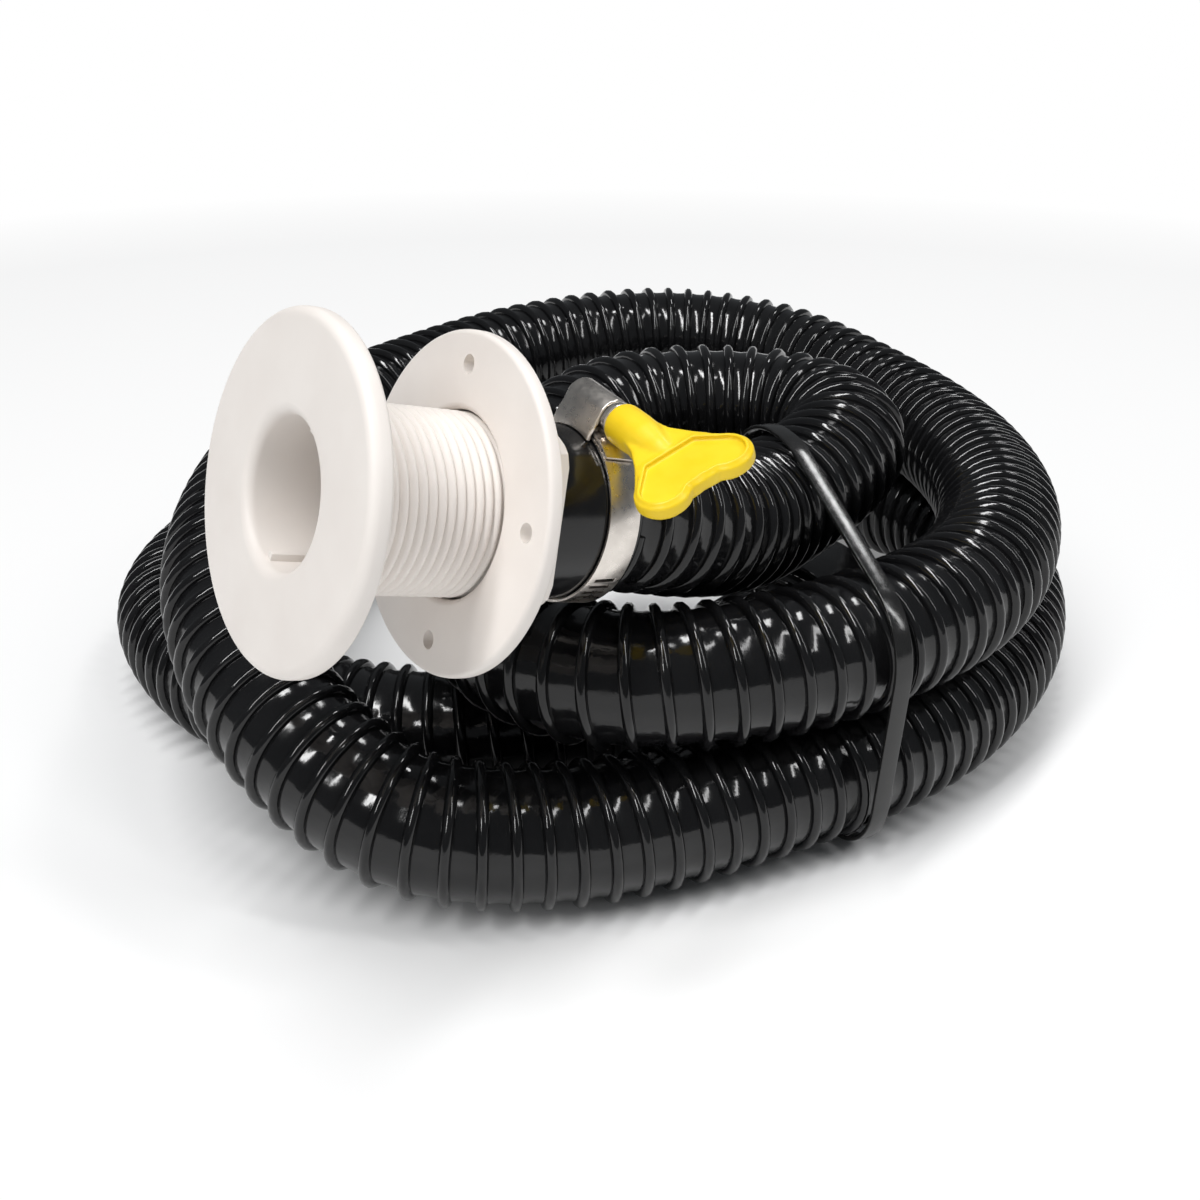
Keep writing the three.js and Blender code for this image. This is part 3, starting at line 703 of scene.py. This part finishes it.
# ---------------------------------------------------------------- clamp

def band_radius(degrees):
    top = 360 - BAND_OVERLAP - BAND_CLIMB_GAP
    share = min(1, max(0, (degrees - top + BAND_CLIMB) / BAND_CLIMB))
    return BAND_INNER_RADIUS + BAND_LIFT * share * share * (3 - 2 * share)


def clamp_band():
    sides = []
    for lift in (0, BAND_THICKNESS):
        line = []
        for i in range(161):
            degrees = -BAND_OVERLAP + (360 + BAND_OVERLAP + BAND_TAIL) * i / 160
            r, angle = band_radius(degrees) + lift, math.radians(degrees)
            line.append((r * math.sin(angle), r * math.cos(angle)))
        sides.append(line)
    band = extruded("steel_band", sides[0] + sides[1][::-1], BAND_WIDTH, -BAND_WIDTH / 2)
    modify(band, "BEVEL", width=0.12 * MM, segments=2, limit_method="ANGLE", angle_limit=1.0)
    slots = None
    for i in range(SLOT_COUNT):
        degrees = SLOT_FIRST + i * SLOT_STEP
        bpy.ops.mesh.primitive_cube_add(size=1)
        slot = bpy.context.object
        slot.scale = (1.1 * MM, 4 * BAND_THICKNESS * MM, 5.2 * MM)
        slot.rotation_euler = (0, SLOT_SLANT, 0)
        bpy.ops.object.transform_apply(location=False, rotation=True, scale=True)
        shift(slot, (0, band_radius(degrees) + BAND_THICKNESS / 2, 0))
        turn(slot, -math.radians(degrees))
        if slots:
            activate(slots)
            slot.select_set(True)
            bpy.ops.object.join()
        else:
            slots = slot
    return cut(band, slots)


def cover(name, half, arch, start, end):
    """A roof over the worm along X: an arch on two side walls that flare towards the band."""
    side = [(half + 0.4, 0), (half + 0.4, 21.6), (arch + 0.3, WORM_HEIGHT - 1.2)]
    crown = [(z, y + WORM_HEIGHT) for z, y in arc(0, 0, arch, 8, 90, 8)]
    right = side + crown
    outline = right + [(-z, y) for z, y in right[-2::-1]]
    piece = drawn_line(name, [(start, y, z) for z, y in outline], closed=True)
    edit(piece)
    bpy.ops.mesh.extrude_region_move(TRANSFORM_OT_translate={"value": ((end - start) * MM, 0, 0)})
    done_editing()
    return clean(piece)


def along_worm(piece):
    """Lays a piece that was built along Z over onto the worm's axis."""
    turn(piece, math.pi / 2, "Y")
    return shift(piece, (0, WORM_HEIGHT, 0))


def housing():
    inner = BAND_WIDTH / 2 + CHANNEL_SLACK
    channel_start = HOUSING_WALL - HOUSING_BACK
    shell = cover("clamp_cover", inner + HOUSING_WALL, HOUSING_ARCH, -HOUSING_BACK, HOUSING_FRONT)
    modify(shell, "BEVEL", width=0.4 * MM, segments=3, limit_method="ANGLE", angle_limit=1.0)
    cut(shell, cover("channel", inner, CHANNEL_ARCH, channel_start, HOUSING_FRONT + 1))
    cut(shell, cylinder("band_way", BAND_INNER_RADIUS + 2.0, -inner, inner, 128))
    cut(shell, cylinder("cuff_way", CUFF_RADIUS + CHANNEL_SLACK, -20, 20, 128))
    cut(shell, along_worm(cylinder("tip_hole", TIP_RADIUS + CHANNEL_SLACK, -20, 0, 32)))
    return shell


def worm_screw():
    start = 1.2 - HOUSING_BACK
    tip = -HOUSING_BACK - TIP_LENGTH
    shaft = turned("worm", [
        (0, tip), *arc(TIP_RADIUS - 0.6, tip + 0.6, 0.6, -90, 0, 4), (TIP_RADIUS, start),
        (TIP_RADIUS, start + 0.2), (TIP_RADIUS, HOUSING_FRONT + 0.3),
        (3.8, HOUSING_FRONT + 0.3), (4.1, HOUSING_FRONT + 0.6),
        (4.1, HOUSING_FRONT + 1.7), (3.8, HOUSING_FRONT + 2), (2.1, HOUSING_FRONT + 2),
        (2.1, HOUSING_FRONT + 10), (0, HOUSING_FRONT + 10),
    ], 48)
    join_to(shaft, threaded(
        "worm_thread", WORM_RADIUS, WORM_DEPTH, WORM_PITCH, start, HOUSING_FRONT - 1, 40))
    return along_worm(shaft)


settle(clamp_band(), CLAMP_PLACE, "hose_and_fitting", ["clamp_band"], STEEL)
settle(housing(), CLAMP_PLACE, "hose_and_fitting", ["clamp_housing"], STEEL)
settle(worm_screw(), CLAMP_PLACE, "worm_and_key", ["worm_screw"], STEEL)


# ---------------------------------------------------------------- butterfly key

KEY_LENGTH = 36
KEY_SPAN = 29.6
KEY_LOBE = 6.4
KEY_THICKNESS = 4.8
KEY_RIM = 1.7
KEY_RECESS = 1.2
KEY_EDGE = 0.9  # how far the edge steps in at both faces, before it is rounded off
WEB_STEP = 0.4


def key_outline(inset):
    """The plate's outline with the worm's axis along X, drawn in by an inset."""
    middle = (KEY_LENGTH - KEY_LOBE, KEY_SPAN / 2 - KEY_LOBE)
    half = [(19 + inset, 8.5 - inset * 1.2)]
    half += arc(*middle, KEY_LOBE - inset, 140, -50, 14)
    half += [(KEY_LENGTH - 2.0 - inset, 2.2), (KEY_LENGTH - 2.2 - inset, 0)]
    return half + [(x, -y) for x, y in half[-2::-1]]


def butterfly_key():
    key = extruded("butterfly_key", key_outline(KEY_EDGE), KEY_THICKNESS, -KEY_THICKNESS / 2)
    key_mid = extruded(
        "key_middle", key_outline(0), KEY_THICKNESS - 2 * KEY_EDGE, KEY_EDGE - KEY_THICKNESS / 2)
    join_to(key, key_mid)
    neck = turned("neck", [
        (0, 0), *arc(3.6, 1.4, 1.4, -90, 0, 5), (5, 7), (4.7, 11), (3.4, 17), (2.0, 21.6),
        (0, 21.6),
    ], 48)
    turn(neck, math.pi / 2, "Y")
    join_to(key, neck)
    web = extruded("web", [
        (7, -4.2), (7, 4.2), (13, 5.4), (17, 7.4), (22, 10), (22, -10), (17, -7.4), (13, -5.4),
    ], KEY_THICKNESS - 2 * WEB_STEP, WEB_STEP - KEY_THICKNESS / 2)
    join_to(key, web)
    modify(key, "REMESH", mode="VOXEL", voxel_size=0.3 * MM)
    modify(key, "SMOOTH", factor=0.5, iterations=18)
    for side in (0, math.pi):
        pocket = extruded("pocket", key_outline(KEY_RIM), 3, KEY_THICKNESS / 2 - KEY_RECESS)
        turn(pocket, side, "X")
        cut(key, pocket)
    modify(key, "REMESH", mode="VOXEL", voxel_size=0.25 * MM)
    modify(key, "SMOOTH", factor=0.5, iterations=4)
    turn(key, KEY_ROLL - math.pi / 2, "X")
    return shift(key, (KEY_START, WORM_HEIGHT, 0))


settle(butterfly_key(), CLAMP_PLACE, "worm_and_key", ["thumb_key"], YELLOW, 180)


# ---------------------------------------------------------------- cable tie

def hull(points):
    """The convex hull of flat points, anticlockwise."""
    points = sorted(points)

    def half(ordered):
        chain = []
        for p in ordered:
            while len(chain) > 1 and (
                (chain[-1][0] - chain[-2][0]) * (p[1] - chain[-2][1])
                <= (chain[-1][1] - chain[-2][1]) * (p[0] - chain[-2][0])
            ):
                chain.pop()
            chain.append(p)
        return chain[:-1]

    return half(points) + half(points[::-1])


def tie_loop():
    """The loop that hugs the tied turns, as (distance across, height) in metres."""
    reach = HOSE_RADIUS + TIE_GAP
    cloud = []
    for edge in (-TIE_WIDTH / 2, 0, TIE_WIDTH / 2):
        away = HOSE_LINE @ np.array(TIE_ALONG) - TIE_OFFSET - edge
        for i in np.nonzero(away[:-1] * away[1:] <= 0)[0]:
            centre = Vector(HOSE_LINE[i])
            if (centre - TIE_BUNDLE).length > TIE_REACH:
                continue
            way = Vector(HOSE_LINE[i + 1] - HOSE_LINE[i]).normalized()
            for k in range(TIE_SIDES):
                angle = k * TURN / TIE_SIDES
                cloud.append((
                    centre.dot(TIE_ACROSS) + reach * math.cos(angle) / abs(way.dot(TIE_ALONG)),
                    centre.z + reach * math.sin(angle)))
    return hull(cloud)


def tie_head(loop):
    """The tie's head with the cut end of the strap through it, on the longest run inside the coil."""
    runs = [(p, q) for p, q in zip(loop, loop[1:] + loop[:1]) if q[1] < p[1]]
    start, end = max(runs, key=lambda run: math.dist(*run))
    slope = math.atan2(end[1] - start[1], end[0] - start[0])
    head = extruded("tie_head", [(-4.25, -5.5), (4.25, -5.5), (4.25, 0), (-4.25, 0)], 6.5, -3.25)
    modify(head, "BEVEL", width=0.7 * MM, segments=3, limit_method="ANGLE")
    cut(head, extruded("slot", [(-5, -4.4), (5, -4.4), (5, -2.7), (-5, -2.7)], 5, -2.5))
    stub = extruded("stub", [(-7, -4.2), (5.5, -4.2), (5.5, -2.9), (-7, -2.9)], 4.6, -2.3)
    modify(stub, "BEVEL", width=0.25 * MM, segments=2, limit_method="ANGLE")
    join_to(head, stub)
    turn(head, slope)
    return shift(head, ((start[0] + end[0]) / 2 / MM, (start[1] + end[1]) / 2 / MM, 0))


def cable_tie():
    loop = tie_loop()
    half = TIE_WIDTH / MM / 2
    strap = drawn_line("tie_strap", [(x / MM, y / MM, -half) for x, y in [*loop, loop[0]]])
    edit(strap)
    bpy.ops.mesh.remove_doubles(threshold=1e-6)
    bpy.ops.mesh.select_all(action="SELECT")
    bpy.ops.mesh.extrude_region_move(TRANSFORM_OT_translate={"value": (0, 0, TIE_WIDTH)})
    bpy.ops.mesh.select_all(action="SELECT")
    bpy.ops.mesh.normals_make_consistent(inside=False)
    done_editing()
    modify(strap, "SOLIDIFY", thickness=TIE_THICKNESS, offset=1, use_even_offset=True)
    modify(strap, "BEVEL", width=0.3 * MM, segments=3, limit_method="ANGLE", angle_limit=1.0)
    return join_to(strap, tie_head(loop))


TIE_PLACE = frame_matrix(TIE_ACROSS, UP, -TIE_ALONG, TIE_ALONG * TIE_OFFSET)
settle(cable_tie(), TIE_PLACE, "hose_and_fitting", ["cable_tie"], NYLON)


# ---------------------------------------------------------------- studio

def floor():
    bpy.ops.mesh.primitive_plane_add(size=12, location=(0, 0, -0.0002))
    ground = bpy.context.object
    ground.name = "floor"
    finish = Finish("white_floor", (0.93, 0.93, 0.93), 0.9)
    finish.tint(finish.noise(3, 2), (0.925, 0.925, 0.925), (0.935, 0.935, 0.935))
    rays = finish.node("LightPath")
    seen = finish.math("MAXIMUM", rays.outputs["Is Camera Ray"], rays.outputs["Is Glossy Ray"])
    through = finish.math("MAXIMUM", seen, rays.outputs["Is Transmission Ray"])
    # the glow fades out under the coil, so that its shadow stays dark there
    middle_distance = finish.node("VectorMath", operation="LENGTH")
    finish.links.new(finish.place.outputs["Object"], middle_distance.inputs[0])
    near = finish.range(middle_distance.outputs["Value"], 0, 0.72, 0.12, 0.24)
    far = finish.range(middle_distance.outputs["Value"], 0, 1, 0.2, 0.9)
    share = finish.math("MULTIPLY", through, finish.math("MAXIMUM", near, far))
    glow = finish.node("Emission", Strength=1.0)
    mixed = finish.node("MixShader")
    finish.links.new(share, mixed.inputs["Fac"])
    finish.links.new(finish.shader.outputs["BSDF"], mixed.inputs[1])
    finish.links.new(glow.outputs["Emission"], mixed.inputs[2])
    finish.links.new(mixed.outputs["Shader"], finish.nodes["Material Output"].inputs["Surface"])
    ground.data.materials.append(finish.material)


def softbox(name, place, size, power):
    data = bpy.data.lights.new(name, "AREA")
    data.shape = "RECTANGLE"
    data.size, data.size_y = size
    data.energy = power
    light = bpy.data.objects.new(name, data)
    light.location = place
    light.rotation_euler = (Vector((0, 0, 0.06)) - Vector(place)).to_track_quat("-Z", "Y").to_euler()
    bpy.context.scene.collection.objects.link(light)


def studio():
    floor()
    softbox("key_light", (-0.35, -0.6, 1.4), (0.14, 1.9), 23)
    softbox("side_light", (0.8, -0.45, 1.25), (0.12, 1.2), 6.5)
    softbox("back_light", (0.55, 0.55, 1.3), (0.3, 0.2), 3)
    world = bpy.data.worlds.new("studio")
    world.use_nodes = True
    world.node_tree.nodes["Background"].inputs["Color"].default_value = (0.9, 0.95, 1, 1)
    world.node_tree.nodes["Background"].inputs["Strength"].default_value = 0.14
    bpy.context.scene.world = world
    bpy.context.scene.view_settings.view_transform = "Standard"


studio()
